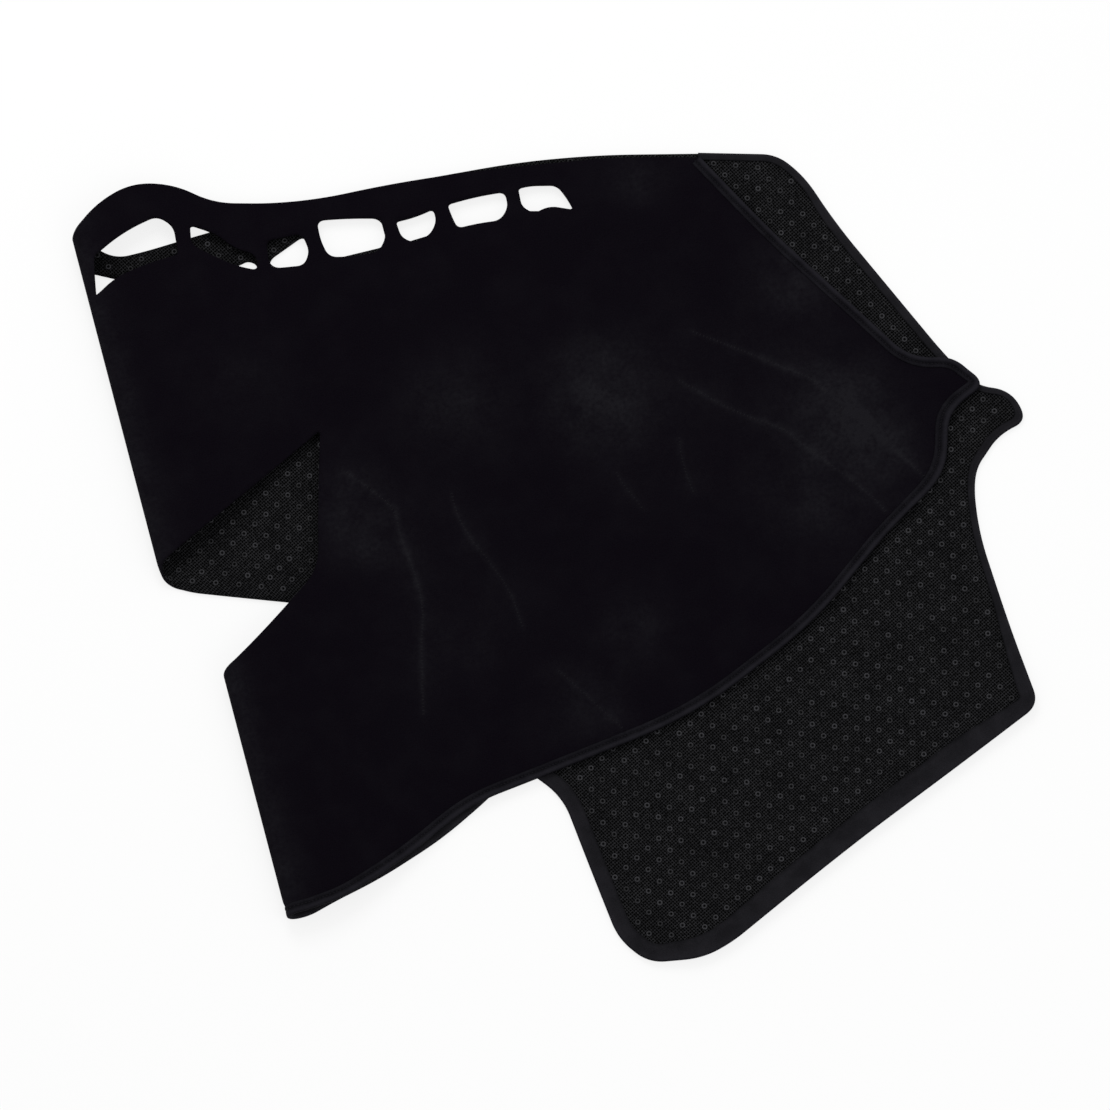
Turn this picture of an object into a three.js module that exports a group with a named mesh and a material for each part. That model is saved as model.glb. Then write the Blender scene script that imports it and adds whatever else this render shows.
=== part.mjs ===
// Dashboard cover mat: a pile sheet laminated to an anti-slip mesh, edge-bound with
// sewn tape, cut for a row of windscreen vents and a centre opening, folded once and
// laid on a flat surface with the pile outside. Millimetres, +Z up.
import * as THREE from 'three';
import { mergeVertices } from 'three/addons/utils/BufferGeometryUtils.js';

// Layers, measured out from the bond line between pile and mesh
const CLEARANCE = 0.3; // between any two pieces that touch
const PILE_THICK = 2.0;
const PILE_PRESSED = 1.1; // under the tape
const MESH_THICK = 0.8;
const TAPE_THICK = 0.6;
const TAPE_LEG = 8; // how far the tape laps over each face
const TAPE_CHAMFER = 0.5;

// Fold and lay
const FOLD_RADIUS = 9; // of the bond line
const FOLD_TILT = 14.3; // degrees from the Y axis, seen from above
const FOLD_STEP = 29; // the near stretch of the fold lies this far in from the far stretch
const STEP_FROM = 285; // where the step starts and ends along the fold, both beside the
const STEP_TO = 390; // centre opening
const SETTLE_LENGTH = 150; // from the fold to where the top layer has come down
const LAYER_RISE = 4.25; // bond line to bond line where the layers lie together
const EDGE_CURL = 5; // lift of the lower layer's free near edge
const CURL_WIDTH = 70;
const CURL_FROM = [-319, 714, 0];
const CURL_TO = [-633, 575, 0];
const DOME_RADIUS = 62; // soft domes that the sewn darts leave in the top layer
// Each dome: across and along, in the flat pattern, and its height
const DOMES = [
  [275, 190, 7],
  [390, 215, 8],
  [565, 285, 9],
  [500, 150, 6],
  [125, 130, 4],
  [165, 262, 4],
  [300, 440, 5],
];

// Flat pattern. Across (first value) is measured from the fold line, positive on the half
// that ends on top. Along (second) runs down the fold line from its far end to its near
// end. The third value is how far a corner's curve reaches each way from the corner.
const FOLD_FAR_END = [0, 5, 8];
const TOP_FAR_EDGE = [
  [25, -17, 18],
  [61, -30, 19],
  [95, -20, 15],
  [121, 1, 17],
  [191, 18, 38],
  [269, 20, 39],
  [348, 28, 40],
  [448, 43, 40],
];
const TOP_CORNER = [513, 60, 14];
const TOP_END = [
  [551, 132, 30],
  [595, 202, 36],
  [635, 268, 20],
  [669, 275, 12],
  [687, 302, 12],
  [647, 318, 20],
  [612, 368, 24],
];
const TOP_NEAR_EDGE = [
  [554, 402, 34],
  [476, 463, 40],
  [363, 515, 50],
  [235, 534, 38],
  [169, 543, 27],
  [103, 577, 28],
  [52, 599, 14],
];
const FOLD_NEAR_END = [
  [22, 606, 7],
  [-22, 606, 7],
];
const LOW_NEAR_EDGE = [
  [-46, 597, 10],
  [-84, 584, 22],
  [-140, 564, 22],
  [-186, 540, 20],
  [-217, 520, 14],
  [-244, 554, 18],
  [-251, 620, 30],
  [-258, 680, 14],
  [-276, 706, 14],
  [-319, 714, 16],
  [-346, 706, 11],
  [-424, 668, 34],
  [-478, 643, 24],
  [-559, 608, 40],
  [-633, 575, 12],
];
const LOW_END = [
  [-627, 500, 34],
  [-623, 420, 26],
  [-631, 373, 20],
  [-671, 345, 16],
  [-699, 339, 12],
  [-703, 313, 13],
  [-682, 303, 9],
  [-664, 272, 20],
  [-606, 141, 26],
  [-591, 95, 16],
  [-574, 72, 12],
];
const LOW_CORNER = [-513, 55, 14];
const LOW_FAR_EDGE = [
  [-434, 36, 30],
  [-370, 26, 30],
  [-263, 19, 40],
  [-163, 20, 40],
  [-93, 23, 20],
  [-60, 25, 12],
  [-33, 25, 12],
  [-17, 9, 6],
];

const OPENING = [
  [158, 209, 4],
  [128, 318, 30],
  [-80, 438, 22],
  [-128, 357, 18],
];

// Windscreen vents, from the fold outwards, each by its corners
const TOP_VENTS = [
  [
    [16, 24, 4], [45, 9, 18], [74, 2, 7], [85, 13, 7],
    [83, 38, 4], [52, 41, 15], [27, 47, 10], [9, 58, 4],
  ],
  [
    [98, 15, 5], [116, 26, 9], [128, 42, 10], [145, 52, 7],
    [142, 65, 5], [127, 58, 8], [112, 47, 10], [95, 32, 6],
  ],
  [
    [155, 42, 6], [185, 43, 7], [187, 59, 6], [180, 70, 6],
    [152, 66, 10],
  ],
  [
    [199, 35, 7], [223, 39, 16], [250, 46, 8], [250, 63, 6],
    [241, 74, 7], [218, 72, 9], [201, 68, 7], [198, 53, 7],
  ],
  [
    [261, 52, 3], [277, 52, 10], [293, 49, 4], [293, 60, 6],
    [285, 70, 6], [270, 73, 5], [262, 66, 5],
  ],
  [
    [305, 48, 4], [330, 47, 16], [353, 49, 6], [352, 63, 6],
    [343, 72, 6], [325, 70, 10], [308, 70, 5], [306, 59, 5],
  ],
  [
    [364, 49, 3], [374, 49, 6], [395, 54, 6], [400, 66, 6],
    [403, 78, 4], [385, 70, 7], [371, 73, 5], [363, 65, 5],
  ],
];
const LOW_VENTS = [
  [
    [-10, 31, 6], [-48, 51, 20], [-79, 56, 9], [-79, 80, 9],
    [-10, 61, 9],
  ],
  [
    [-89, 60, 6], [-128, 55, 4], [-137, 53, 3], [-143, 57, 3],
    [-143, 78, 9], [-89, 81, 9],
  ],
  [
    [-153, 57, 7], [-187, 43, 7], [-187, 69, 9], [-153, 83, 9],
  ],
  [
    [-196, 33, 9], [-250, 33, 9], [-250, 69, 9], [-196, 69, 9],
  ],
  [
    [-259, 40, 9], [-294, 42, 9], [-294, 68, 9], [-259, 70, 9],
  ],
  [
    [-303, 42, 9], [-353, 43, 9], [-353, 70, 9], [-303, 69, 9],
  ],
  [
    [-362, 44, 9], [-414, 52, 9], [-414, 80, 9], [-362, 67, 9],
  ],
];

// How finely the surfaces are divided
const FINE_STEP = 1; // spacing of the samples that an outline is walked in
const EDGE_STEP = 30;
const VENT_STEP = 18;
const EDGE_TURN = 0.45; // radians of turn that one step may take
const TOP_STEP = 40;
const LOW_STEP = 75;
const FOLD_ROWS = 8; // facets round the fold
const SPARE = 0.55; // no inner point is nearer to another than this share of the step
const SLOPE_STEP = 0.5;
const REACH = 1200; // past the pattern on every side
const FAR = 1e5; // well past that

const HALF_TURN = (Math.PI * FOLD_RADIUS) / 2;
const FOLD_STRETCH = (FOLD_ROWS * TOP_STEP) / (2 * HALF_TURN);
const HALF_GAP = CLEARANCE / 2;
const PILE_TOP = HALF_GAP + PILE_THICK;
const PRESSED_TOP = HALF_GAP + PILE_PRESSED;
const MESH_BACK = -HALF_GAP - MESH_THICK;
const TAPE_PILE_IN = PRESSED_TOP + CLEARANCE;
const TAPE_PILE_OUT = TAPE_PILE_IN + TAPE_THICK;
const TAPE_MESH_IN = MESH_BACK - CLEARANCE;
const TAPE_MESH_OUT = TAPE_MESH_IN - TAPE_THICK;
const LOW_LEVEL = Math.max(PILE_TOP, TAPE_PILE_OUT); // the lower bond line over the floor

const smooth = (t) => {
  const c = Math.min(1, Math.max(0, t));
  return c * c * (3 - 2 * c);
};

// An outline through corner points, each corner rounded by its own curve
function outlineCurves(corners, closed) {
  const path = new THREE.CurvePath();
  const at = (i) => new THREE.Vector2(...corners[(i + corners.length) % corners.length]);
  const toward = (a, b, reach) => a.clone().add(b.clone().sub(a).setLength(reach));
  const last = closed ? corners.length : corners.length - 1;
  let from = closed ? toward(at(0), at(1), corners[0][2]) : at(0);
  for (let i = 1; i <= last; i += 1) {
    const corner = at(i);
    const reach = corners[i % corners.length][2];
    const end = !closed && i === last;
    const into = end ? corner : toward(corner, at(i - 1), reach);
    path.add(new THREE.LineCurve(from, into));
    if (!end) {
      const out = toward(corner, at(i + 1), reach);
      path.add(new THREE.QuadraticBezierCurve(into, corner, out));
      from = out;
    }
  }
  return path;
}

// The fold is divided finely, so distances across it count more
function stretched(u) {
  const beyond = Math.abs(u) - HALF_TURN;
  return beyond > 0 ? Math.sign(u) * (HALF_TURN * FOLD_STRETCH + beyond) : u * FOLD_STRETCH;
}

function unstretched(x) {
  const beyond = Math.abs(x) - HALF_TURN * FOLD_STRETCH;
  return beyond > 0 ? Math.sign(x) * (HALF_TURN + beyond) : x / FOLD_STRETCH;
}

// Walks a path and keeps a point after each step of length or of turn, and one where the
// fold's round begins or ends
function walk(path, step) {
  const kept = [];
  let length = 0;
  let turn = 0;
  for (const curve of path.curves) {
    const count = Math.max(2, Math.ceil(curve.getLength() / FINE_STEP));
    const bends = curve.isQuadraticBezierCurve;
    for (let i = 0; i < count; i += 1) {
      const here = curve.getPoint(i / count);
      const next = curve.getPoint((i + 1) / count);
      const before = kept.length ? kept[kept.length - 1] : null;
      const rounding = Math.abs(here.x) < HALF_TURN !== Math.abs(next.x) < HALF_TURN;
      if (!before || rounding || length / step + turn / EDGE_TURN >= 1) {
        kept.push(here);
        length = 0;
        turn = 0;
      }
      length += Math.hypot(stretched(next.x) - stretched(here.x), next.y - here.y);
      if (bends) {
        turn += Math.abs(curve.getTangent(i / count).cross(curve.getTangent((i + 1) / count)));
      }
    }
  }
  return kept;
}

// The bound edge runs from the top corner round both ends to the lower corner. The far
// edge, between the corners, the vents and the opening are plain cut.
const boundCorners = [
  TOP_CORNER,
  ...TOP_END,
  ...TOP_NEAR_EDGE,
  ...FOLD_NEAR_END,
  ...LOW_NEAR_EDGE,
  ...LOW_END,
  LOW_CORNER,
];
const plainCorners = [
  LOW_CORNER,
  ...LOW_FAR_EDGE,
  FOLD_FAR_END,
  ...TOP_FAR_EDGE,
  TOP_CORNER,
];
const boundEdge = walk(outlineCurves(boundCorners, false), EDGE_STEP);
const boundEnd = new THREE.Vector2(LOW_CORNER[0], LOW_CORNER[1]);
boundEdge.push(boundEnd);
const plainEdge = walk(outlineCurves(plainCorners, false), EDGE_STEP).slice(1);
const outline = [...boundEdge, ...plainEdge];
const holes = [
  walk(outlineCurves(OPENING, true), EDGE_STEP),
  ...[...TOP_VENTS, ...LOW_VENTS].map((vent) => walk(outlineCurves(vent, true), VENT_STEP)),
];

function isInside(loop, u, v) {
  let inside = false;
  for (let i = 0, j = loop.length - 1; i < loop.length; j = i, i += 1) {
    const a = loop[i];
    const b = loop[j];
    if (a.y > v !== b.y > v && u < ((b.x - a.x) * (v - a.y)) / (b.y - a.y) + a.x) {
      inside = !inside;
    }
  }
  return inside;
}

const isMat = (u, v) => isInside(outline, u, v) && !holes.some((hole) => isInside(hole, u, v));

function distanceToLoop(loop, point) {
  let best = Infinity;
  const closest = new THREE.Vector3();
  const p = new THREE.Vector3(point.x, point.y, 0);
  const line = new THREE.Line3();
  for (let i = 0; i + 1 < loop.length; i += 1) {
    line.start.set(loop[i].x, loop[i].y, 0);
    line.end.set(loop[i + 1].x, loop[i + 1].y, 0);
    best = Math.min(best, line.closestPointToPoint(p, true, closest).distanceTo(p));
  }
  return best;
}

// The least share of its inset at which a point counts as clear of the edge
const INSET_SHARE = 0.93;

// Points set in from the bound edge. Where a corner is tighter than the inset, its points
// stay at the last one that is clear of the edge.
function insetPoints(edge, inset) {
  const raw = edge.map((point, i) => {
    const before = edge[Math.max(0, i - 1)];
    const after = edge[Math.min(edge.length - 1, i + 1)];
    const along = after.clone().sub(before).normalize();
    const inward = new THREE.Vector2(-along.y, along.x);
    return point.clone().addScaledVector(inward, inset);
  });
  const clear = raw.map((point) => distanceToLoop(edge, point) > inset * INSET_SHARE);
  return raw.map((point, i) => {
    for (let step = 0; step < raw.length; step += 1) {
      if (clear[i - step]) {
        return raw[i - step];
      }
      if (clear[i + step]) {
        return raw[i + step];
      }
    }
    return point;
  });
}

// Fills the outline with points: the rings that the tape needs, then columns that run
// along the fold, dense round it and wide apart where the mat lies flat
function fillPoints(loops) {
  const points = loops.flat();
  const isClear = (u, v, reach) => points.every(
    (p) => Math.hypot(stretched(p.x) - stretched(u), p.y - v) > reach,
  );
  for (const point of insetPoints(boundEdge, TAPE_LEG + CLEARANCE)) {
    if (isClear(point.x, point.y, TAPE_LEG / 2)) {
      points.push(point);
    }
  }
  const ringed = points.length;
  for (const side of [1, -1]) {
    const wide = side > 0 ? TOP_STEP : LOW_STEP;
    let step = TOP_STEP;
    let odd = 0;
    for (let x = side > 0 ? 0 : step; x < REACH; x += step) {
      step = x < HALF_TURN * FOLD_STRETCH ? TOP_STEP : wide;
      odd = 1 - odd;
      for (let v = -REACH + (odd * step) / 2; v < REACH; v += step) {
        const u = side * unstretched(x);
        if (isMat(u, v) && isClear(u, v, step * SPARE)) {
          points.push(new THREE.Vector2(u, v));
        }
      }
    }
  }
  return { points, ringed };
}

// Delaunay triangles of a set of points, counter-clockwise
function triangulate(points) {
  const all = [
    ...points,
    new THREE.Vector2(-FAR, -FAR),
    new THREE.Vector2(FAR, -FAR),
    new THREE.Vector2(0, FAR),
  ];
  const withCircle = (a, b, c) => {
    const [p, q, r] = [all[a], all[b], all[c]];
    const [qx, qy, rx, ry] = [q.x - p.x, q.y - p.y, r.x - p.x, r.y - p.y];
    const twice = 2 * (qx * ry - qy * rx);
    const x = (ry * (qx * qx + qy * qy) - qy * (rx * rx + ry * ry)) / twice;
    const y = (qx * (rx * rx + ry * ry) - rx * (qx * qx + qy * qy)) / twice;
    return { ids: [a, b, c], x: p.x + x, y: p.y + y, radius: Math.hypot(x, y) };
  };
  let triangles = [withCircle(points.length, points.length + 1, points.length + 2)];
  points.forEach((point, index) => {
    const rim = new Map();
    triangles = triangles.filter(({ ids, x, y, radius }) => {
      if (Math.hypot(point.x - x, point.y - y) >= radius) {
        return true;
      }
      for (let i = 0; i < 3; i += 1) {
        const [from, to] = [ids[i], ids[(i + 1) % 3]];
        if (!rim.delete(`${to} ${from}`)) {
          rim.set(`${from} ${to}`, [from, to]);
        }
      }
      return false;
    });
    for (const [from, to] of rim.values()) {
      triangles.push(withCircle(from, to, index));
    }
  });
  return triangles.map((t) => t.ids).filter((ids) => Math.max(...ids) < points.length);
}

// The bond line between pile and mesh as the folded mat lies, for a place in the flat
// pattern: flat below, round the fold, then down on to the lower half with soft domes
function bondPoint(u, v) {
  const beyond = Math.max(0, Math.abs(u) - HALF_TURN);
  const angle = (Math.sign(u) * Math.min(Math.abs(u), HALF_TURN)) / FOLD_RADIUS;
  const step = FOLD_STEP * smooth((v - STEP_FROM) / (STEP_TO - STEP_FROM));
  const across = PILE_TOP + FOLD_RADIUS * (1 - Math.cos(angle)) + beyond + step;
  let height = LOW_LEVEL + FOLD_RADIUS * (1 + Math.sin(angle));
  if (u > HALF_TURN) {
    height -= (2 * FOLD_RADIUS - LAYER_RISE) * smooth(beyond / SETTLE_LENGTH);
    for (const [domeU, domeV, domeHeight] of DOMES) {
      const far = Math.hypot(u - domeU, v - domeV) / DOME_RADIUS;
      height += domeHeight * Math.exp(-2 * far * far) * smooth(beyond / DOME_RADIUS);
    }
  } else if (u < -HALF_TURN) {
    const edge = new THREE.Line3(new THREE.Vector3(...CURL_FROM), new THREE.Vector3(...CURL_TO));
    const here = new THREE.Vector3(u, v, 0);
    const inside = edge.closestPointToPoint(here, true, new THREE.Vector3()).distanceTo(here);
    height += EDGE_CURL * smooth(1 - inside / CURL_WIDTH);
  }
  const tilt = THREE.MathUtils.degToRad(FOLD_TILT);
  return new THREE.Vector3(
    across * Math.cos(tilt) + v * Math.sin(tilt),
    across * Math.sin(tilt) - v * Math.cos(tilt),
    height,
  );
}

// A point at a given height over the bond line, positive towards the pile side
function layerPoint(u, v, over) {
  const slope = (du, dv) => bondPoint(u + du, v + dv).sub(bondPoint(u - du, v - dv));
  const normal = slope(0, SLOPE_STEP).cross(slope(SLOPE_STEP, 0)).normalize();
  return bondPoint(u, v).addScaledVector(normal, over);
}

function solid(name, vertices, triangles, material) {
  const rough = new THREE.BufferGeometry().setFromPoints(vertices);
  rough.setIndex(triangles.flat());
  const geometry = mergeVertices(rough);
  const ids = Array.from(geometry.index.array);
  const kept = [];
  for (let i = 0; i < ids.length; i += 3) {
    const [a, b, c] = ids.slice(i, i + 3);
    if (a !== b && b !== c && c !== a) {
      kept.push(a, b, c);
    }
  }
  geometry.setIndex(kept);
  geometry.computeVertexNormals();
  const mesh = new THREE.Mesh(geometry, material);
  mesh.name = name;
  return mesh;
}

const { points, ringed } = fillPoints([outline, ...holes]);
const spread = points.map((p) => new THREE.Vector2(stretched(p.x), p.y));
const flatFaces = triangulate(spread).filter((ids) => {
  const [a, b, c] = ids.map((id) => spread[id]);
  return isMat(unstretched((a.x + b.x + c.x) / 3), (a.y + b.y + c.y) / 3);
});

// The bound outline and the ring inside it, where the tape presses the pile
function isPressed(id) {
  const plain = id >= boundEdge.length && id < outline.length + holes.flat().length;
  return id < ringed && !plain;
}

// One layer of the mat: both of its faces, and a wall along every cut edge
function layerSolid(name, underAt, overAt, material) {
  const under = points.map((p, id) => layerPoint(p.x, p.y, underAt(id)));
  const over = points.map((p, id) => layerPoint(p.x, p.y, overAt(id)));
  const count = points.length;
  const edges = new Map();
  const triangles = [];
  for (const [a, b, c] of flatFaces) {
    triangles.push([a, b, c], [a + count, c + count, b + count]);
    for (const [from, to] of [[a, b], [b, c], [c, a]]) {
      if (!edges.delete(`${to} ${from}`)) {
        edges.set(`${from} ${to}`, [from, to]);
      }
    }
  }
  for (const [from, to] of edges.values()) {
    triangles.push([to, from, from + count], [to, from + count, to + count]);
  }
  return solid(name, [...under, ...over], triangles, material);
}

// The binding: a tape folded over the edge, with a leg on each face of the mat
function bindingSolid(name, material) {
  const web = -CLEARANCE;
  const back = web - TAPE_THICK;
  const section = [
    [back, TAPE_PILE_OUT - TAPE_CHAMFER],
    [back + TAPE_CHAMFER, TAPE_PILE_OUT],
    [TAPE_LEG, TAPE_PILE_OUT],
    [TAPE_LEG, TAPE_PILE_IN],
    [web, TAPE_PILE_IN],
    [web, TAPE_MESH_IN],
    [TAPE_LEG, TAPE_MESH_IN],
    [TAPE_LEG, TAPE_MESH_OUT],
    [back + TAPE_CHAMFER, TAPE_MESH_OUT],
    [back, TAPE_MESH_OUT + TAPE_CHAMFER],
  ];
  const rings = section.map(([inset, over]) => insetPoints(boundEdge, inset)
    .map((p) => layerPoint(p.x, p.y, over)));
  const sides = section.length;
  const vertices = boundEdge.flatMap((_, i) => rings.map((ring) => ring[i]));
  const triangles = [];
  for (let i = 0; i + 1 < boundEdge.length; i += 1) {
    for (let side = 0; side < sides; side += 1) {
      const next = (side + 1) % sides;
      const [a, b] = [i * sides + side, i * sides + next];
      triangles.push([a, b, b + sides], [a, b + sides, a + sides]);
    }
  }
  const cap = [[4, 0, 1], [4, 1, 2], [4, 2, 3], [4, 5, 9], [4, 9, 0], [5, 6, 7], [5, 7, 8], [5, 8, 9]];
  const end = (boundEdge.length - 1) * sides;
  for (const [a, b, c] of cap) {
    triangles.push([a, c, b], [a + end, b + end, c + end]);
  }
  return solid(name, vertices, triangles, material);
}

const pileMaterial = new THREE.MeshStandardMaterial({
  color: '#17161b', roughness: 0.95, metalness: 0,
});
const meshMaterial = new THREE.MeshStandardMaterial({
  color: '#303034', roughness: 0.8, metalness: 0,
});
const tapeMaterial = new THREE.MeshStandardMaterial({
  color: '#242328', roughness: 0.85, metalness: 0,
});

const mat = new THREE.Group();
mat.name = 'dashboard_cover_mat';
const pileHeight = (id) => (isPressed(id) ? PRESSED_TOP : PILE_TOP);
mat.add(layerSolid('pile_face', () => HALF_GAP, pileHeight, pileMaterial));
mat.add(layerSolid('grip_backing', () => MESH_BACK, () => -HALF_GAP, meshMaterial));
mat.add(bindingSolid('edge_binding', tapeMaterial));

// Stood on the middle of its underside
const box = new THREE.Box3().setFromObject(mat);
const middle = box.getCenter(new THREE.Vector3());
mat.position.set(-middle.x, -middle.y, -box.min.z);

export default mat;
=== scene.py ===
"""A dashboard cover mat, folded once and laid on a pale ground with its pile outside.

The flat pattern and the way it is folded repeat the part's own sizes, in millimetres. Two
stretches of the outline follow the object a little closer than the part does: the lower
half's edge of the centre opening beside the fold, and the near tip of the fold. Across (the
first value of a point) is measured from the fold line, positive on the half that ends on
top. Along (the second) runs down the fold line from its far end.
"""

import math

import bmesh
import bpy
from mathutils import Matrix, Vector
from mathutils.bvhtree import BVHTree
from mathutils.kdtree import KDTree


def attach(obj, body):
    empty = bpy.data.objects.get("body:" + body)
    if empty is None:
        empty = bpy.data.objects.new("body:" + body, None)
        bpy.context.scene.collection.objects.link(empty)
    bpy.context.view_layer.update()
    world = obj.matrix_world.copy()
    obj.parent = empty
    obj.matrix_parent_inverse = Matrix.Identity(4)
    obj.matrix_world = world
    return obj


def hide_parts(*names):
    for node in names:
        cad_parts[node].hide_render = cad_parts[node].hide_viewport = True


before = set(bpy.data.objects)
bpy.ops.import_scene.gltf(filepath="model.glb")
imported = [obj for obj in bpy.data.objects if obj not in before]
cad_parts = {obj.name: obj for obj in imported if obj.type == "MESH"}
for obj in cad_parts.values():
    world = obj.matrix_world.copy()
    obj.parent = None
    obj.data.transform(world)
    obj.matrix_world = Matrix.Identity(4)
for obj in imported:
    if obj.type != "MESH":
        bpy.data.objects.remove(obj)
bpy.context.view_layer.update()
scene = bpy.context.scene

MM = 0.001

# Layers, measured from the bond line between pile and mesh, positive to the pile side
CLEARANCE = 0.3
PILE_THICK = 2.0
PILE_PRESSED = 1.1
MESH_THICK = 0.8
TAPE_THICK = 0.6
TAPE_LEG = 8.0
PRESSED_WIDTH = 5.0
PILE_UNDER = CLEARANCE / 2
PILE_TOP = PILE_UNDER + PILE_THICK
PRESSED_TOP = PILE_UNDER + PILE_PRESSED
MESH_FACE = -CLEARANCE / 2
MESH_BACK = MESH_FACE - MESH_THICK

# Fold and lay
FOLD_RADIUS = 9.0
HALF_TURN = math.pi * FOLD_RADIUS / 2
FOLD_TILT = math.radians(14.3)
FOLD_STEP = 29.0
STEP_FROM = 285.0
STEP_TO = 390.0
SETTLE_LENGTH = 150.0
LAYER_RISE = 4.25
EDGE_CURL = 5.0
CURL_WIDTH = 70.0
CURL_FROM = Vector((-319, 714))
CURL_TO = Vector((-633, 575))
DOME_RADIUS = 62.0
DOMES = (
    (275, 190, 7),
    (390, 215, 8),
    (565, 285, 9),
    (500, 150, 6),
    (125, 130, 4),
    (165, 262, 4),
    (300, 440, 5),
)
# The middle of the folded mat, seen from the far end of the fold line
MIDDLE = Vector((389.805, -268.013))

# Flat pattern: across, along, and how far each corner's curve reaches
TOP_CORNER = (513, 60, 14)
LOW_CORNER = (-513, 55, 14)
TOP_END = (
    (551, 132, 30),
    (595, 202, 36),
    (635, 268, 20),
    (669, 275, 12),
    (687, 302, 12),
    (647, 318, 20),
    (612, 368, 24),
)
NEAR_EDGE = (
    (554, 402, 34),
    (476, 463, 40),
    (363, 515, 50),
    (235, 534, 38),
    (169, 543, 27),
    (103, 577, 28),
    (52, 596, 14),
    (22, 600, 7),
    (-22, 600, 7),
    (-46, 593, 10),
    (-84, 584, 22),
    (-140, 564, 22),
    (-186, 540, 20),
    (-217, 520, 14),
    (-244, 554, 18),
    (-251, 620, 30),
    (-258, 680, 14),
    (-276, 706, 14),
    (-319, 714, 16),
    (-346, 706, 11),
    (-424, 668, 34),
    (-478, 643, 24),
    (-559, 608, 40),
    (-633, 575, 12),
)
LOW_END = (
    (-627, 500, 34),
    (-623, 420, 26),
    (-631, 373, 20),
    (-671, 345, 16),
    (-699, 339, 12),
    (-703, 313, 13),
    (-682, 303, 9),
    (-664, 272, 20),
    (-606, 141, 26),
    (-591, 95, 16),
    (-574, 72, 12),
)
FAR_EDGE = (
    (-434, 36, 30),
    (-370, 26, 30),
    (-263, 19, 40),
    (-163, 20, 40),
    (-93, 23, 20),
    (-60, 25, 12),
    (-33, 25, 12),
    (-17, 9, 6),
    (0, 5, 8),
    (25, -17, 18),
    (61, -30, 19),
    (95, -20, 15),
    (121, 1, 17),
    (191, 18, 38),
    (269, 20, 39),
    (348, 28, 40),
    (448, 43, 40),
)
OPENING = (
    (158, 209, 4),
    (128, 318, 30),
    (-80, 438, 22),
    (-128, 361, 18),
    (-13, 311, 14),
    (6, 289, 7),
)
# Vents of the half on top and of the lower half, from the fold outwards
VENTS = (
    (
        (16, 24, 4), (45, 9, 18), (74, 2, 7), (85, 13, 7),
        (83, 38, 4), (52, 41, 15), (27, 47, 10), (9, 58, 4),
    ),
    (
        (98, 15, 5), (116, 26, 9), (128, 42, 10), (145, 52, 7),
        (142, 65, 5), (127, 58, 8), (112, 47, 10), (95, 32, 6),
    ),
    (
        (155, 42, 6), (185, 43, 7), (187, 59, 6), (180, 70, 6),
        (152, 66, 10),
    ),
    (
        (199, 35, 7), (223, 39, 16), (250, 46, 8), (250, 63, 6),
        (241, 74, 7), (218, 72, 9), (201, 68, 7), (198, 53, 7),
    ),
    (
        (261, 52, 3), (277, 52, 10), (293, 49, 4), (293, 60, 6),
        (285, 70, 6), (270, 73, 5), (262, 66, 5),
    ),
    (
        (305, 48, 4), (330, 47, 16), (353, 49, 6), (352, 63, 6),
        (343, 72, 6), (325, 70, 10), (308, 70, 5), (306, 59, 5),
    ),
    (
        (364, 49, 3), (374, 49, 6), (395, 54, 6), (400, 66, 6),
        (403, 78, 4), (385, 70, 7), (371, 73, 5), (363, 65, 5),
    ),
    (
        (-10, 31, 6), (-48, 51, 20), (-79, 56, 9), (-79, 80, 9),
        (-10, 61, 9),
    ),
    (
        (-89, 60, 6), (-128, 55, 4), (-137, 53, 3), (-143, 57, 3),
        (-143, 78, 9), (-89, 81, 9),
    ),
    (
        (-153, 57, 7), (-187, 43, 7), (-187, 69, 9), (-153, 83, 9),
    ),
    (
        (-196, 33, 9), (-250, 33, 9), (-250, 69, 9), (-196, 69, 9),
    ),
    (
        (-259, 40, 9), (-294, 42, 9), (-294, 68, 9), (-259, 70, 9),
    ),
    (
        (-303, 42, 9), (-353, 43, 9), (-353, 70, 9), (-303, 69, 9),
    ),
    (
        (-362, 44, 9), (-414, 52, 9), (-414, 80, 9), (-362, 67, 9),
    ),
)

# Sewn darts of the pile face: the line each follows, and how high its ridge stands
DARTS = (
    (((170, 250), (201, 289), (190, 330), (165, 400), (151, 462)), 1.5),
    (((248, 287), (243, 325), (244, 370), (247, 412)), 1.1),
    (((379, 303), (380, 337)), 0.9),
    (((438, 287), (424, 336)), 0.9),
    (((471, 203), (511, 232), (555, 268), (584, 326), (597, 371)), 1.5),
    (((450, 240), (483, 273), (521, 302), (535, 339), (555, 388)), 1.4),
    (((266, 454), (304, 513)), 1.0),
)
DART_WIDTH = 4.5
DART_TAIL = 18.0
DART_RIDGE_SHARE = 0.55
DART_TAIL_SHARE = 0.45
DART_FADE = (0.08, 0.84)
DART_GROOVE = 0.35
GROOVE_WIDTH = 1.2
DART_REACH = 80.0
DART_CELLS = 9.0
DART_BEND = 12.0

# Patches of painted sheen highlight on the pile, where light catches its nap: across, along,
# radius and strength
SHEEN_PATCHES = (
    (389, 236, 44, 0.72),
    (270, 212, 38, 0.42),
    (577, 290, 38, 0.62),
    (569, 328, 34, 0.5),
    (560, 180, 34, 0.5),
    (334, 433, 28, 0.3),
    (166, 272, 26, 0.35),
    (160, 306, 26, 0.4),
    (459, 66, 26, 0.3),
    (505, 364, 44, 0.35),
    (200, 416, 26, 0.2),
    (283, 486, 30, 0.25),
    (106, 151, 30, 0.2),
)
# Painted sheen highlight: a light band along the fold, and light glows beside and on the lines of
# the sewn darts
FOLD_SHEEN = 0.5
FOLD_SHEEN_WIDTH = 20.0
DART_SHEEN = 0.17
DART_SHEEN_WIDTH = 15.0
DART_LINE_SHEEN = 0.24
DART_LINE_WIDTH = 2.2

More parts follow.
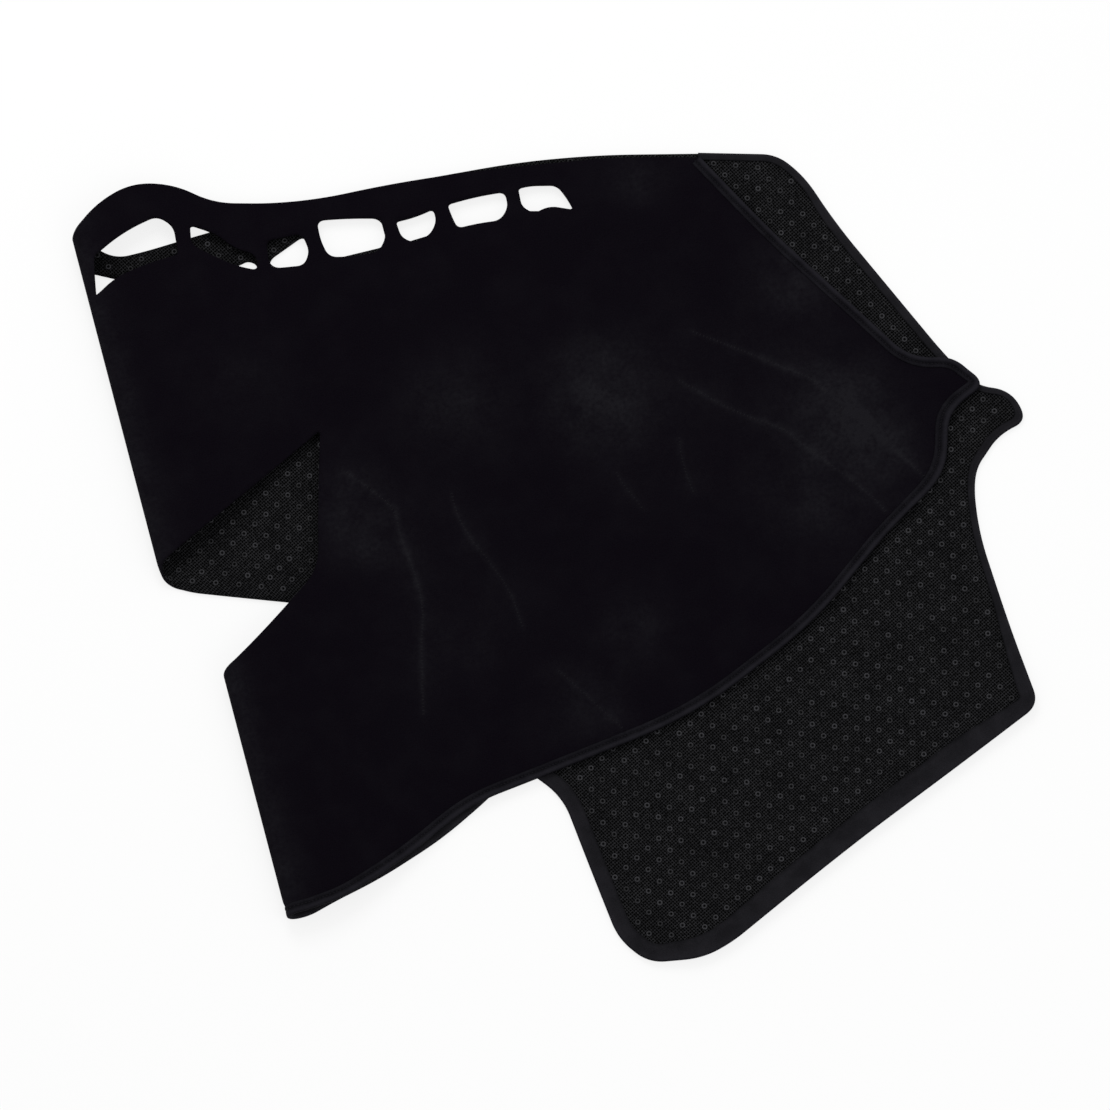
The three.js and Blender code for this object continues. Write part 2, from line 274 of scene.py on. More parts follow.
# How far the tape reaches over the mesh, at places along the bound edge
TAPE_WIDTHS = (
    ((513, 60), 8),
    ((22, 600), 8),
    ((-46, 593), 10),
    ((-140, 564), 12),
    ((-217, 520), 11),
    ((-251, 620), 12),
    ((-276, 706), 13),
    ((-319, 714), 16),
    ((-424, 668), 18),
    ((-559, 608), 18),
    ((-633, 575), 12),
    ((-625, 460), 5.5),
    ((-631, 373), 5),
    ((-703, 313), 5),
    ((-664, 272), 6.5),
    ((-606, 141), 7),
    ((-591, 95), 5.5),
    ((-513, 55), 5.5),
)
TAPE_SWELL = 1.1
SWELL_FROM = 10.0
SWELL_SPAN = 7.0
TAPE_LIFT = 0.6
LIFT_SPAN = 20.0
SEAM_INSET = 4.6
TIGHT_BEND = 0.93

# The fold's step is taken up by the cloth within this distance of the fold
STEP_SPREAD = 150.0

# Silicone rings of the grip backing: a lattice, six mesh threads to each pitch
GRIP_TILT = math.radians(28.4)
GRIP_PITCH = (12.0, 13.4)
THREADS = 6
RING_RADIUS = 1.75
RING_TUBE = 0.78
RING_RISE = 0.3
RING_STEPS = 9
RING_MARGIN = 3.0
RING_TAPE_GAP = 2.6
GRIP_START = Vector((-669.7, 337.5))
LATTICE_REACH = 1800.0

# Stitches: long, wide and high, and how far apart
TAPE_STITCH = (2.4, 0.6, 0.55)
DART_STITCH = (3.4, 0.6, 0.6)
STITCH_PITCH = 3.0

# How finely the cloth is divided
TOP_CELL = 4.0
LOW_CELL = 7.0
FOLD_CELL = 1.3
FOLD_MARGIN = 6.0
EDGE_CELL = 2.5
VENT_CELL = 1.5
REACH_ACROSS = 720.0
ALONG_FROM = -40.0
REACH_ALONG = 720.0
SAME_PLACE = 0.001
SAME_ROW = 0.005
FRAME_STEP = 0.5


def smooth(t):
    t = min(1.0, max(0.0, t))
    return t * t * (3 - 2 * t)


def towards(start, end, reach):
    return start + (end - start).normalized() * reach


def walk(corners, closed, step):
    """Points along an outline whose corners are rounded, at most a step apart."""
    places = [Vector(corner[:2]) for corner in corners]
    count = len(corners)
    kept = []
    last = count if closed else count - 1
    at = towards(places[0], places[1], corners[0][2]) if closed else places[0]
    for index in range(1, last + 1):
        corner = places[index % count]
        ends = not closed and index == last
        reach = 0 if ends else corners[index % count][2]
        into = towards(corner, places[index - 1], reach) if reach else corner
        pieces = max(1, math.ceil((into - at).length / step))
        kept += [at.lerp(into, k / pieces) for k in range(pieces)]
        if ends:
            kept.append(corner)
            break
        out = towards(corner, places[(index + 1) % count], reach)
        pieces = max(3, math.ceil(2 * reach / step))
        for k in range(pieces):
            t = k / pieces
            kept.append(into.lerp(corner, t).lerp(corner.lerp(out, t), t))
        at = out
    return kept


def distance_to_line(here, start, end):
    """How far a place is from a stretch of line, and the share of it at the nearest point."""
    line = end - start
    share = min(1.0, max(0.0, (here - start).dot(line) / line.length_squared))
    return (here - start - line * share).length, share


def darts_near(here):
    """Of each dart within reach: its rise, how far off it is, and its strength there."""
    begin, span = DART_FADE
    for points, rise in DARTS:
        low, high = min(point[0] for point in points), max(point[0] for point in points)
        if not low - DART_REACH < here.x < high + DART_REACH:
            continue
        places = [Vector(point) for point in points]
        found = []
        for index, (start, end) in enumerate(zip(places, places[1:])):
            off, share = distance_to_line(here, start, end)
            found.append((off, (index + share) / (len(places) - 1)))
        off, share = min(found)
        yield rise, off, math.sin(math.pi * min(1, max(0, begin + span * share))) ** 0.5


def dart_ridges(here):
    """The height that the sewn darts add: a narrow ridge with a soft tail on both sides."""
    height = 0.0
    for rise, off, fade in darts_near(here):
        narrow = DART_RIDGE_SHARE * math.exp(-((off / DART_WIDTH) ** 2))
        height += rise * fade * (narrow + DART_TAIL_SHARE * math.exp(-off / DART_TAIL))
        height -= DART_GROOVE * fade * math.exp(-((off / GROOVE_WIDTH) ** 2))
    return height


def painted_sheen_at(across, along):
    """How much painted sheen highlight the pile carries there, from 0 to 1."""
    here = Vector((across, along))
    sheen = FOLD_SHEEN * math.exp(-((across / FOLD_SHEEN_WIDTH) ** 2))
    for *place, radius, strength in SHEEN_PATCHES:
        sheen += strength * math.exp(-(((here - Vector(place)).length / radius) ** 2))
    for rise, off, fade in darts_near(here):
        glow = DART_SHEEN * math.exp(-off / DART_SHEEN_WIDTH)
        glow += DART_LINE_SHEEN * math.exp(-((off / DART_LINE_WIDTH) ** 2))
        sheen += rise * fade * glow
    return min(1.0, sheen)


def fold_step(along):
    return FOLD_STEP * smooth((along - STEP_FROM) / (STEP_TO - STEP_FROM))


def weave_place(across, along):
    """A place in the directions of the weave, which the fold's step leaves straight."""
    shift = fold_step(along) * smooth(abs(across) / STEP_SPREAD)
    return across + math.copysign(shift, across), along


def unwoven(across, along):
    """The place of the flat pattern that lies at a place of the weave."""
    found = across
    for _ in range(4):
        shift = fold_step(along) * smooth(abs(found) / STEP_SPREAD)
        found = across - math.copysign(shift, found)
    return Vector((found, along))


def bond_point(across, along):
    """Where a place of the flat pattern lies, on the bond line of the folded mat."""
    beyond = max(0.0, abs(across) - HALF_TURN)
    angle = math.copysign(min(abs(across), HALF_TURN), across) / FOLD_RADIUS
    step = fold_step(along)
    out = PILE_TOP + FOLD_RADIUS * (1 - math.cos(angle)) + beyond + step
    height = PILE_TOP + FOLD_RADIUS * (1 + math.sin(angle))
    if across > HALF_TURN:
        height -= (2 * FOLD_RADIUS - LAYER_RISE) * smooth(beyond / SETTLE_LENGTH)
        settled = smooth(beyond / DOME_RADIUS)
        for dome_across, dome_along, rise in DOMES:
            far = math.hypot(across - dome_across, along - dome_along) / DOME_RADIUS
            height += rise * math.exp(-2 * far * far) * settled
        height += dart_ridges(Vector((across, along))) * settled
    elif across < -HALF_TURN:
        inside, _ = distance_to_line(Vector((across, along)), CURL_FROM, CURL_TO)
        height += EDGE_CURL * smooth(1 - inside / CURL_WIDTH)
    return Vector((
        out * math.cos(FOLD_TILT) + along * math.sin(FOLD_TILT) - MIDDLE.x,
        out * math.sin(FOLD_TILT) - along * math.cos(FOLD_TILT) - MIDDLE.y,
        height,
    )) * MM


def surface_frame(across, along):
    """The bond point with its directions across and out to the pile side."""
    run = bond_point(across + FRAME_STEP, along) - bond_point(across - FRAME_STEP, along)
    down = bond_point(across, along + FRAME_STEP) - bond_point(across, along - FRAME_STEP)
    out = down.cross(run).normalized()
    return bond_point(across, along), run.normalized(), out


def layer_point(across, along, over):
    place, _, out = surface_frame(across, along)
    return place + out * over * MM


bound_corners = (TOP_CORNER, *TOP_END, *NEAR_EDGE, *LOW_END, LOW_CORNER)
bound_edge = walk(bound_corners, False, EDGE_CELL)
plain_edge = walk((LOW_CORNER, *FAR_EDGE, TOP_CORNER), False, EDGE_CELL)
outline = bound_edge + plain_edge[1:-1]
holes = [walk(OPENING, True, EDGE_CELL)]
holes += [walk(vent, True, VENT_CELL) for vent in VENTS]

bound_tree = KDTree(len(bound_edge))
for index, place in enumerate(bound_edge):
    bound_tree.insert((place.x, place.y, 0), index)
bound_tree.balance()


def from_binding(across, along):
    return bound_tree.find((across, along, 0))[2]


stations = sorted((bound_tree.find((*place, 0))[1], width) for place, width in TAPE_WIDTHS)
tape_legs = []
for index in range(len(bound_edge)):
    before = max((s for s in stations if s[0] <= index), default=stations[0])
    after = min((s for s in stations if s[0] > index), default=stations[-1])
    share = (index - before[0]) / max(1, after[0] - before[0])
    tape_legs.append(before[1] + (after[1] - before[1]) * smooth(share))


def mesh_tape_leg(across, along):
    """How far the tape reaches over the mesh beside the nearest place of the bound edge."""
    return tape_legs[bound_tree.find((across, along, 0))[1]]


def slice_faces(cloth, faces, places, axis):
    """Cuts faces along grid lines, the middle line first, so that each cut meets few faces."""
    if not places or not faces:
        return
    middle = len(places) // 2
    at = places[middle]
    across = Vector((1, 0, 0)) if axis == 0 else Vector((0, 1, 0))
    corners = {corner for face in faces for corner in face.verts}
    edges = {edge for face in faces for edge in face.edges}
    cut = bmesh.ops.bisect_plane(
        cloth,
        geom=[*corners, *edges, *faces],
        dist=SAME_PLACE,
        plane_co=across * at,
        plane_no=across,
    )
    sides = ([], [])
    for face in cut["geom"]:
        if isinstance(face, bmesh.types.BMFace):
            sides[face.calc_center_median()[axis] > at].append(face)
    slice_faces(cloth, sides[0], places[:middle], axis)
    slice_faces(cloth, sides[1], places[middle + 1:], axis)


def near_dart(here):
    """Whether a place of the flat pattern is close beside the line of a sewn dart."""
    for points, _ in DARTS:
        for start, end in zip(points, points[1:]):
            if distance_to_line(here, Vector(start), Vector(end))[0] < DART_CELLS:
                return True
    return False


def cut_cloth(fine):
    """The flat pattern as one sheet of faces, finer round the fold, and beside the darts."""
    cloth = bmesh.new()
    for loop in [outline, *holes]:
        corners = [cloth.verts.new((place.x, place.y, 0)) for place in loop]
        for start, end in zip(corners, corners[1:] + corners[:1]):
            cloth.edges.new((start, end))
    bmesh.ops.triangle_fill(cloth, edges=cloth.edges[:], use_beauty=False, use_dissolve=False)
    first, last = int(ALONG_FROM / TOP_CELL), int(REACH_ALONG / TOP_CELL)
    rows = [TOP_CELL * k for k in range(first, last)]
    slice_faces(cloth, cloth.faces[:], rows, 1)
    lines = {round(row, 2) for row in rows}
    loose = [
        edge for edge in cloth.edges
        if len(edge.link_faces) == 2
        and not (
            abs(edge.verts[0].co.y - edge.verts[1].co.y) < SAME_ROW
            and round(edge.verts[0].co.y, 2) in lines
        )
    ]
    bmesh.ops.dissolve_edges(cloth, edges=loose, use_verts=False)
    passed = [
        corner for corner in cloth.verts
        if len(corner.link_edges) == 2 and not corner.is_boundary
    ]
    bmesh.ops.dissolve_verts(cloth, verts=passed)
    columns = []
    across = -REACH_ACROSS
    while across < REACH_ACROSS:
        columns.append(across)
        if abs(across) < HALF_TURN + FOLD_MARGIN:
            across += FOLD_CELL
        else:
            across += TOP_CELL if across > 0 else LOW_CELL
    slice_faces(cloth, cloth.faces[:], columns, 0)
    if fine:
        close = [face for face in cloth.faces if near_dart(face.calc_center_median().xy)]
        edges = {edge for face in close for edge in face.edges}
        bmesh.ops.subdivide_edges(cloth, edges=list(edges), cuts=2, use_grid_fill=True)
    return cloth


def finish_piece(name, mesh, material):
    """A finished bmesh as an object at the origin, riding on the part."""
    bmesh.ops.recalc_face_normals(mesh, faces=mesh.faces[:])
    data = bpy.data.meshes.new(name)
    mesh.to_mesh(data)
    mesh.free()
    for face in data.polygons:
        face.use_smooth = True
    data.materials.append(material)
    piece = bpy.data.objects.new(name, data)
    scene.collection.objects.link(piece)
    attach(piece, "root")
    return piece


def scatter(shape, places):
    """Copies of a small shape, one at each placing, in one mesh."""
    gathered = bmesh.new()
    corners = [(corner, corner.co.copy()) for corner in shape.verts]
    copied = bpy.data.meshes.new("copied")
    for place in places:
        for corner, own in corners:
            corner.co = place @ own
        shape.to_mesh(copied)
        gathered.from_mesh(copied)
    shape.free()
    bpy.data.meshes.remove(copied)
    return gathered


def standing(across, along, over, turn=0.0):
    """The placing of a small shape on the cloth, its Z out to the pile side."""
    place, run, out = surface_frame(across, along)
    run = (run - out * run.dot(out)).normalized()
    side = out.cross(run)
    turned = Matrix((run, side, out)).transposed().to_4x4() @ Matrix.Rotation(turn, 4, "Z")
    return Matrix.Translation(place + out * over * MM) @ turned


# Colours and materials


def colour(code):
    """A linear colour from its sRGB hex code."""
    shades = [int(code[k:k + 2], 16) / 255 for k in (1, 3, 5)]
    linear = [c / 12.92 if c <= 0.04045 else ((c + 0.055) / 1.055) ** 2.4 for c in shades]
    return [*linear, 1.0]


def add(tree, kind, settings=None, **inputs):
    """A shader node with its settings and inputs; an input is a value or a node's output."""
    made = tree.nodes.new(kind)
    for name, value in (settings or {}).items():
        setattr(made, name, value)
    for name, value in inputs.items():
        key = int(name[1:]) if name[0] == "i" and name[1:].isdigit() else name.replace("_", " ")
        if isinstance(value, bpy.types.NodeSocket):
            tree.links.new(value, made.inputs[key])
        else:
            made.inputs[key].default_value = value
    return made


def new_material(name):
    material = bpy.data.materials.new(name)
    material.use_nodes = True
    tree = material.node_tree
    tree.nodes.clear()
    return material, tree


def output(tree, surface):
    add(tree, "ShaderNodeOutputMaterial", Surface=surface)


def principled(tree, base, roughness, specular, height=None, strength=0.8, depth=0.0):
    """The material's surface; a height gives it relief of that depth, in metres."""
    relief = {}
    if height is not None:
        bump = add(
            tree, "ShaderNodeBump", Height=height, Strength=strength, Distance=depth
        )
        relief = {"Normal": bump.outputs["Normal"]}
    surface = add(
        tree, "ShaderNodeBsdfPrincipled",
        Base_Color=base, Roughness=roughness, Specular_IOR_Level=specular, **relief,
    )
    output(tree, surface.outputs["BSDF"])


def in_mm(tree, place):
    return add(
        tree, "ShaderNodeVectorMath", {"operation": "SCALE"}, Vector=place, Scale=1 / MM
    ).outputs["Vector"]


def flat_mm(tree):
    """The place in the flat pattern, in millimetres, from the cloth's own UV map."""
    return in_mm(tree, add(tree, "ShaderNodeUVMap", {"uv_map": "Flat"}).outputs["UV"])


def object_mm(tree):
    """The place in the piece, in millimetres."""
    return in_mm(tree, add(tree, "ShaderNodeTexCoord").outputs["Object"])


def attribute(tree, name):
    """A value that each corner of the mesh carries."""
    return add(tree, "ShaderNodeAttribute", {"attribute_name": name}).outputs["Fac"]


def noise(tree, vector, period, detail=3.0, roughness=0.5):
    """Noise with grains of about that many millimetres, from 0 to 1."""
    return add(
        tree, "ShaderNodeTexNoise",
        Vector=vector, Scale=1 / period, Detail=detail, Roughness=roughness,
    ).outputs["Fac"]


def stretch(tree, value, low, high, to_low=0.0, to_high=1.0):
    """A value with one range brought to another, and held within it."""
    return add(
        tree, "ShaderNodeMapRange",
        Value=value, From_Min=low, From_Max=high, To_Min=to_low, To_Max=to_high,
    ).outputs["Result"]


def maths(tree, operation, *values):
    inputs = {f"i{k}": value for k, value in enumerate(values)}
    return add(tree, "ShaderNodeMath", {"operation": operation}, **inputs).outputs["Value"]


def blend_colours(tree, share, low, high):
    return add(
        tree, "ShaderNodeMix", {"data_type": "RGBA"}, i0=share, i6=low, i7=high
    ).outputs[2]


def pile_material():
    """Short cut polyester pile, near black, with painted sheen highlights in patches, along the
    fold and beside the darts, and faint random tone.
    """
    material, tree = new_material("polyester_pile")
    flat = flat_mm(tree)
    sheen_highlight = attribute(tree, "PaintedSheen")
    grain = noise(tree, flat, 1.1, 2.0)
    tufts = noise(tree, flat, 3.5, 3.0)
    patches = noise(tree, flat, 40.0, 4.0, 0.6)
    strokes = noise(tree, flat, 26.0, 3.0, 0.6)
    # Painted sheen highlight: the corner attribute, broken up by tufts and strokes, lightens the
    # base towards the high colour; the large noise patches add random tone
    uneven = maths(tree, "MULTIPLY", stretch(tree, tufts, 0.3, 0.7, 0.6, 1.4), sheen_highlight)
    uneven = maths(tree, "MULTIPLY", uneven, stretch(tree, strokes, 0.32, 0.68, 0.45, 1.45))
    share = maths(tree, "ADD", uneven, stretch(tree, patches, 0.45, 0.75, 0.0, 0.14))
    base = blend_colours(tree, share, colour("#09060c"), colour("#1a191d"))
    grey = stretch(tree, grain, 0.3, 0.7, 0.0, 0.08)
    base = blend_colours(tree, grey, base, colour("#26252a"))
    principled(tree, base, 0.95, 0.02, maths(tree, "ADD", grain, tufts), depth=0.0008)
    return material


def mesh_material():
    """Open polyester mesh, charcoal, whose threads run along the lattice of the grip rings."""
    material, tree = new_material("polyester_mesh")
    flat = flat_mm(tree)
    along_threads = add(
        tree, "ShaderNodeMapping", {"vector_type": "TEXTURE"}, Vector=flat,
        Rotation=(0.0, 0.0, GRIP_TILT), Scale=(*(pitch / THREADS for pitch in GRIP_PITCH), 1.0),
    ).outputs["Vector"]
    split = add(tree, "ShaderNodeSeparateXYZ", Vector=along_threads)
    threads = [
        maths(tree, "COSINE", maths(tree, "MULTIPLY", split.outputs[axis], math.tau))
        for axis in ("X", "Y")
    ]
    thread = maths(tree, "MAXIMUM", *threads)
    uneven = stretch(tree, noise(tree, flat, 2.2), 0.3, 0.7, -0.35, 0.35)
    thread = maths(tree, "ADD", thread, uneven)
    cover = stretch(tree, thread, 0.42, 0.95)
    worn = stretch(tree, noise(tree, flat, 22.0, 3.0), 0.3, 0.7)
    lit = blend_colours(tree, worn, colour("#222224"), colour("#2e2e30"))
    base = blend_colours(tree, cover, colour("#000000"), lit)
    principled(tree, base, 0.8, 0.03, cover, strength=1.0, depth=0.0005)
    return material


def silicone_material():
    """Silicone rubber dots, dark grey, satin."""
    material, tree = new_material("silicone_rubber")
    dusty = stretch(tree, noise(tree, object_mm(tree), 12.0, 1.0), 0.35, 0.65)
    base = blend_colours(tree, dusty, colour("#1f1f21"), colour("#333336"))
    principled(tree, base, 0.55, 0.16)
    return material


def tape_material(name, low, high, grain_size, depth):
    """Brushed polyester tape, folded over the edge of the mat, with painted highlight and painted
    shade across its section from a corner attribute.
    """
    material, tree = new_material(name)
    place = object_mm(tree)
    grain = noise(tree, place, grain_size, 3.0, 0.6)
    patches = noise(tree, place, 14.0, 2.0)
    uneven = stretch(tree, maths(tree, "ADD", grain, patches), 0.75, 1.25, -0.22, 0.22)
    # The corner attribute carries painted light: painted shade in the seam groove, painted
    # highlight on the rolled rims
    share = stretch(tree, maths(tree, "ADD", attribute(tree, "PaintedLight"), uneven), 0.0, 1.0)
    base = blend_colours(tree, share, colour(low), colour(high))
    principled(tree, base, 0.9, 0.04, grain, depth=depth)
    return material


def thread_material():
    """Spun polyester sewing thread, black, slightly glossier than the pile."""
    material, tree = new_material("sewing_thread")
    principled(tree, colour("#121116"), 0.6, 0.12)
    return material


pile_cloth = pile_material()
mesh_cloth = mesh_material()
silicone = silicone_material()
tape_cloth = tape_material("polyester_tape", "#09080c", "#1e1d22", 1.2, 0.0004)
fleece_cloth = tape_material("polyester_fleece", "#0d0d0f", "#242327", 1.0, 0.0009)
sewing_thread = thread_material()


# The two cloths


def layer(name, material, fine, over_low, over_high):
    """One cloth of the mat: the flat pattern with a face on each side, folded as the mat is."""
    cloth = cut_cloth(fine)
    # Each corner of the pile carries how much painted sheen highlight it shows
    painted_sheen = cloth.verts.layers.float.new("PaintedSheen")
    if fine:
        for corner in cloth.verts:
            corner[painted_sheen] = painted_sheen_at(corner.co.x, corner.co.y)
    first = cloth.verts[:]
    extruded = bmesh.ops.extrude_face_region(cloth, geom=cloth.faces[:], use_keep_orig=True)
    second = {item for item in extruded["geom"] if isinstance(item, bmesh.types.BMVert)}
    flat = cloth.loops.layers.uv.new("Flat")
    for face in cloth.faces:
        for corner in face.loops:
            corner[flat].uv = Vector(weave_place(corner.vert.co.x, corner.vert.co.y)) * MM
    frames = {}
    for corners, over in ((first, over_low), (second, over_high)):
        for corner in corners:
            key = corner.co.xy.to_tuple(3)
            if key not in frames:
                frames[key] = surface_frame(corner.co.x, corner.co.y)
            place, _, out = frames[key]
            corner.co = place + out * over(*key) * MM
    return finish_piece(name, cloth, material)


def pile_height(across, along):
    """The height of the pile: free inside, and pressed down where the tape covers it."""
    inside = from_binding(across, along)
    free = smooth((inside - TAPE_LEG) / PRESSED_WIDTH)
    return PRESSED_TOP + (PILE_TOP - PRESSED_TOP) * free


pile = layer("pile_cloth", pile_cloth, True, lambda across, along: PILE_UNDER, pile_height)
backing = layer(
    "grip_mesh", mesh_cloth, False,
    lambda across, along: MESH_BACK, lambda across, along: MESH_FACE,
)

# Silicone rings on the grip backing

cloth = cut_cloth(False)
cloth.normal_update()
pattern = BVHTree.FromBMesh(cloth)
cloth.free()
edge_places = [*outline, *(place for hole in holes for place in hole)]
edge_tree = KDTree(len(edge_places))
for index, place in enumerate(edge_places):
    edge_tree.insert((place.x, place.y, 0), index)
edge_tree.balance()


def on_mesh(across, along, margin):
    """Whether a spot of the flat pattern is cloth, clear of every edge by the margin."""
    hit = pattern.ray_cast(Vector((across, along, 10)), Vector((0, 0, -1)))[0]
    return hit is not None and edge_tree.find((across, along, 0))[2] > margin


def ring_placings(low, high):
    turn = Matrix.Rotation(GRIP_TILT, 2)
    reach = int(LATTICE_REACH / min(GRIP_PITCH))
    found = []
    for row in range(-reach, reach):
        for column in range(-reach, reach):
            spot = turn @ Vector((column * GRIP_PITCH[0], row * GRIP_PITCH[1])) + GRIP_START
            if not (low <= spot.x < high and ALONG_FROM < spot.y < REACH_ALONG):
                continue
            spot = unwoven(*spot)
            clear = from_binding(*spot) > mesh_tape_leg(*spot) + RING_TAPE_GAP
            if clear and on_mesh(*spot, RING_MARGIN):
                found.append(standing(*spot, MESH_BACK - RING_RISE))
    return found


def ring_shape():
    ring = bmesh.new()
    bmesh.ops.create_circle(ring, segments=4, radius=RING_TUBE * MM)
    bmesh.ops.rotate(ring, verts=ring.verts[:], matrix=Matrix.Rotation(math.pi / 2, 3, "X"))
    bmesh.ops.translate(ring, verts=ring.verts[:], vec=(RING_RADIUS * MM, 0, 0))
    bmesh.ops.spin(
        ring, geom=ring.verts[:] + ring.edges[:], cent=(0, 0, 0), axis=(0, 0, 1),
        angle=math.tau, steps=RING_STEPS, use_merge=True,
    )
    return ring


for name, low, high in (
    ("grip_rings_low", -REACH_ACROSS, 0),
    ("grip_rings_top", 0, REACH_ACROSS),
):
    finish_piece(name, scatter(ring_shape(), ring_placings(low, high)), silicone)

# The binding: tape folded over the mat's cut edge, from windscreen corner to windscreen corner


def inset_places(inset):
    """The bound edge set in; where it bends too tightly, the nearest place clear of it."""
    count = len(bound_edge)
    raw = []
    for index, place in enumerate(bound_edge):
        line = bound_edge[min(count - 1, index + 1)] - bound_edge[max(0, index - 1)]
        reach = inset(place) if callable(inset) else inset
        raw.append((place + Vector((-line.y, line.x)).normalized() * reach, reach))
    clear = [reach <= 0 or from_binding(*place) > reach * TIGHT_BEND for place, reach in raw]
    kept = []
    for index in range(count):
        for step in range(count):
            back, forward = max(0, index - step), min(count - 1, index + step)
            if clear[back]:
                kept.append(raw[back][0])
                break
            if clear[forward]:
                kept.append(raw[forward][0])
                break
    return kept


# The sides of the section from the first to before the last of these are of fleece
FLEECE_FROM = 11
FLEECE_TO = 17
# How light the tape is painted along its section: painted shade in the seam groove, painted
# highlight where it rolls over the edge
TAPE_PAINTED_LIGHT = (
    0.15, 0.25, 0.45, 0.35, 0.0, 0.3, 0.95, 0.85, 0.4, 0.3, 0.4,
    0.75, 0.7, 0.55, 0.5, 0.5, 0.3, 0.1, 0.1, 0.1, 0.1,
)
TAPE_PILE_IN = PRESSED_TOP + CLEARANCE
TAPE_PILE_OUT = TAPE_PILE_IN + TAPE_THICK
TAPE_MESH_IN = MESH_BACK - CLEARANCE
TAPE_MESH_OUT = TAPE_MESH_IN - TAPE_THICK


def tape_places():
    """The tape's section at every place of the bound edge, each corner as a row of points."""
    def on_mesh_side(share, less=0.0):
        return inset_places(lambda place: max(1.0, share * mesh_tape_leg(*place) - less))

    def lifted(share):
        return [TAPE_LIFT * smooth((x - HALF_TURN) / LIFT_SPAN) * share for x, _ in bound_edge]

    def swelled(share):
        return [-TAPE_SWELL * smooth((leg - SWELL_FROM) / SWELL_SPAN) * share for leg in tape_legs]

    level = [0.0] * len(bound_edge)
    # Each corner: how far in it stands, its height over the bond line, and what is added
    section = (
        (inset_places(TAPE_LEG), TAPE_PILE_IN, level),
        (inset_places(TAPE_LEG), TAPE_PILE_OUT - 0.3, level),
        (inset_places(TAPE_LEG - 0.9), TAPE_PILE_OUT - 0.1, lifted(0.6)),
        (inset_places(TAPE_LEG - 2.2), TAPE_PILE_OUT - 0.1, lifted(0.4)),
        (inset_places(SEAM_INSET), TAPE_PILE_OUT - 0.5, level),
        (inset_places(SEAM_INSET - 1.3), TAPE_PILE_OUT - 0.05, lifted(0.8)),
        (inset_places(1.2), TAPE_PILE_OUT, lifted(1.0)),
        (inset_places(-0.2), TAPE_PILE_OUT - 0.2, lifted(0.7)),
        (inset_places(-0.8), 1.3, level),
        (inset_places(-0.9), 0.15, level),
        (inset_places(-0.8), -1.0, level),
        (inset_places(-0.2), TAPE_MESH_OUT + 0.1, level),
        (inset_places(1.2), TAPE_MESH_OUT - 0.1, swelled(0.4)),
        (on_mesh_side(0.3), TAPE_MESH_OUT, swelled(0.95)),
        (on_mesh_side(0.55), TAPE_MESH_OUT, swelled(1.0)),
        (on_mesh_side(0.8), TAPE_MESH_OUT, swelled(0.7)),
        (on_mesh_side(1.0, 0.6), TAPE_MESH_OUT, swelled(0.15)),
        (on_mesh_side(1.0), TAPE_MESH_OUT + 0.3, level),
        (on_mesh_side(1.0), TAPE_MESH_IN, level),
        (inset_places(-CLEARANCE), TAPE_MESH_IN, level),
        (inset_places(-CLEARANCE), TAPE_PILE_IN, level),
    )
    return [
        [layer_point(*place, over + rise) for place, rise in zip(places, rises)]
        for places, over, rises in section
    ]


def swept_tape(name):
    """The tape as a grid, rolled into a tube round its section and closed at both ends."""
    rows = tape_places()
    count = len(bound_edge)
    tape = bmesh.new()
    painted_light = tape.verts.layers.float.new("PaintedLight")
    bmesh.ops.create_grid(tape, x_segments=count - 1, y_segments=len(rows), size=1)
    corners = sorted(
        tape.verts, key=lambda corner: (round(corner.co.y, 4), round(corner.co.x, 5))
    )
    for index, corner in enumerate(corners):
        corner.co = rows[(index // count) % len(rows)][index % count]
        # The painted highlight or shade of this row of the section
        corner[painted_light] = TAPE_PAINTED_LIGHT[(index // count) % len(rows)]
    side_of = {corner: index // count for index, corner in enumerate(corners)}
    for face in tape.faces:
        side = min(side_of[corner] for corner in face.verts)
        face.material_index = int(FLEECE_FROM <= side < FLEECE_TO)
    seam = dict(zip(corners[-count:], corners[:count]))
    bmesh.ops.weld_verts(tape, targetmap=seam)
    ends = [edge for edge in tape.edges if edge.is_boundary]
    bmesh.ops.holes_fill(tape, edges=ends, sides=0)
    piece = finish_piece(name, tape, tape_cloth)
    piece.data.materials.append(fleece_cloth)
    return piece


def stitch_shape(long, wide, high):
    stitch = bmesh.new()
    bmesh.ops.create_uvsphere(stitch, u_segments=6, v_segments=4, radius=MM / 2)
    bmesh.ops.rotate(stitch, verts=stitch.verts[:], matrix=Matrix.Rotation(math.pi / 2, 3, "Y"))
    bmesh.ops.scale(stitch, verts=stitch.verts[:], vec=(long, wide, high))
    return stitch


def stitch_row(places, over, turn=0.0):
    """Placings along a line of the flat pattern, one to each stitch."""
    found = []
    spare = 0.0
    for start, end in zip(places, places[1:]):
        line = end - start
        if line.length < SAME_PLACE:
            continue
        heading = math.atan2(-line.y, line.x) + turn
        while spare < line.length:
            spot = start + line * (spare / line.length)
            found.append(standing(*spot, over, heading))
            spare += STITCH_PITCH
        spare -= line.length
    return found


tape = swept_tape("edge_tape")

tape_row = stitch_row(inset_places(SEAM_INSET), TAPE_PILE_OUT - 0.4)
tape_stitches = finish_piece(
    "tape_stitches", scatter(stitch_shape(*TAPE_STITCH), tape_row), sewing_thread
)

dart_rows = []
for points, _ in DARTS:
    line = walk([(*point, DART_BEND) for point in points], False, 2.0)
    dart_rows += stitch_row(line, PILE_TOP - 0.15, math.pi / 2)
dart_stitches = finish_piece(
    "dart_stitches", scatter(stitch_shape(*DART_STITCH), dart_rows), sewing_thread
)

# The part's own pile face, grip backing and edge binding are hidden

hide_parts("pile_face")
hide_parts("grip_backing")
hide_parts("edge_binding")

# Ground, camera and light


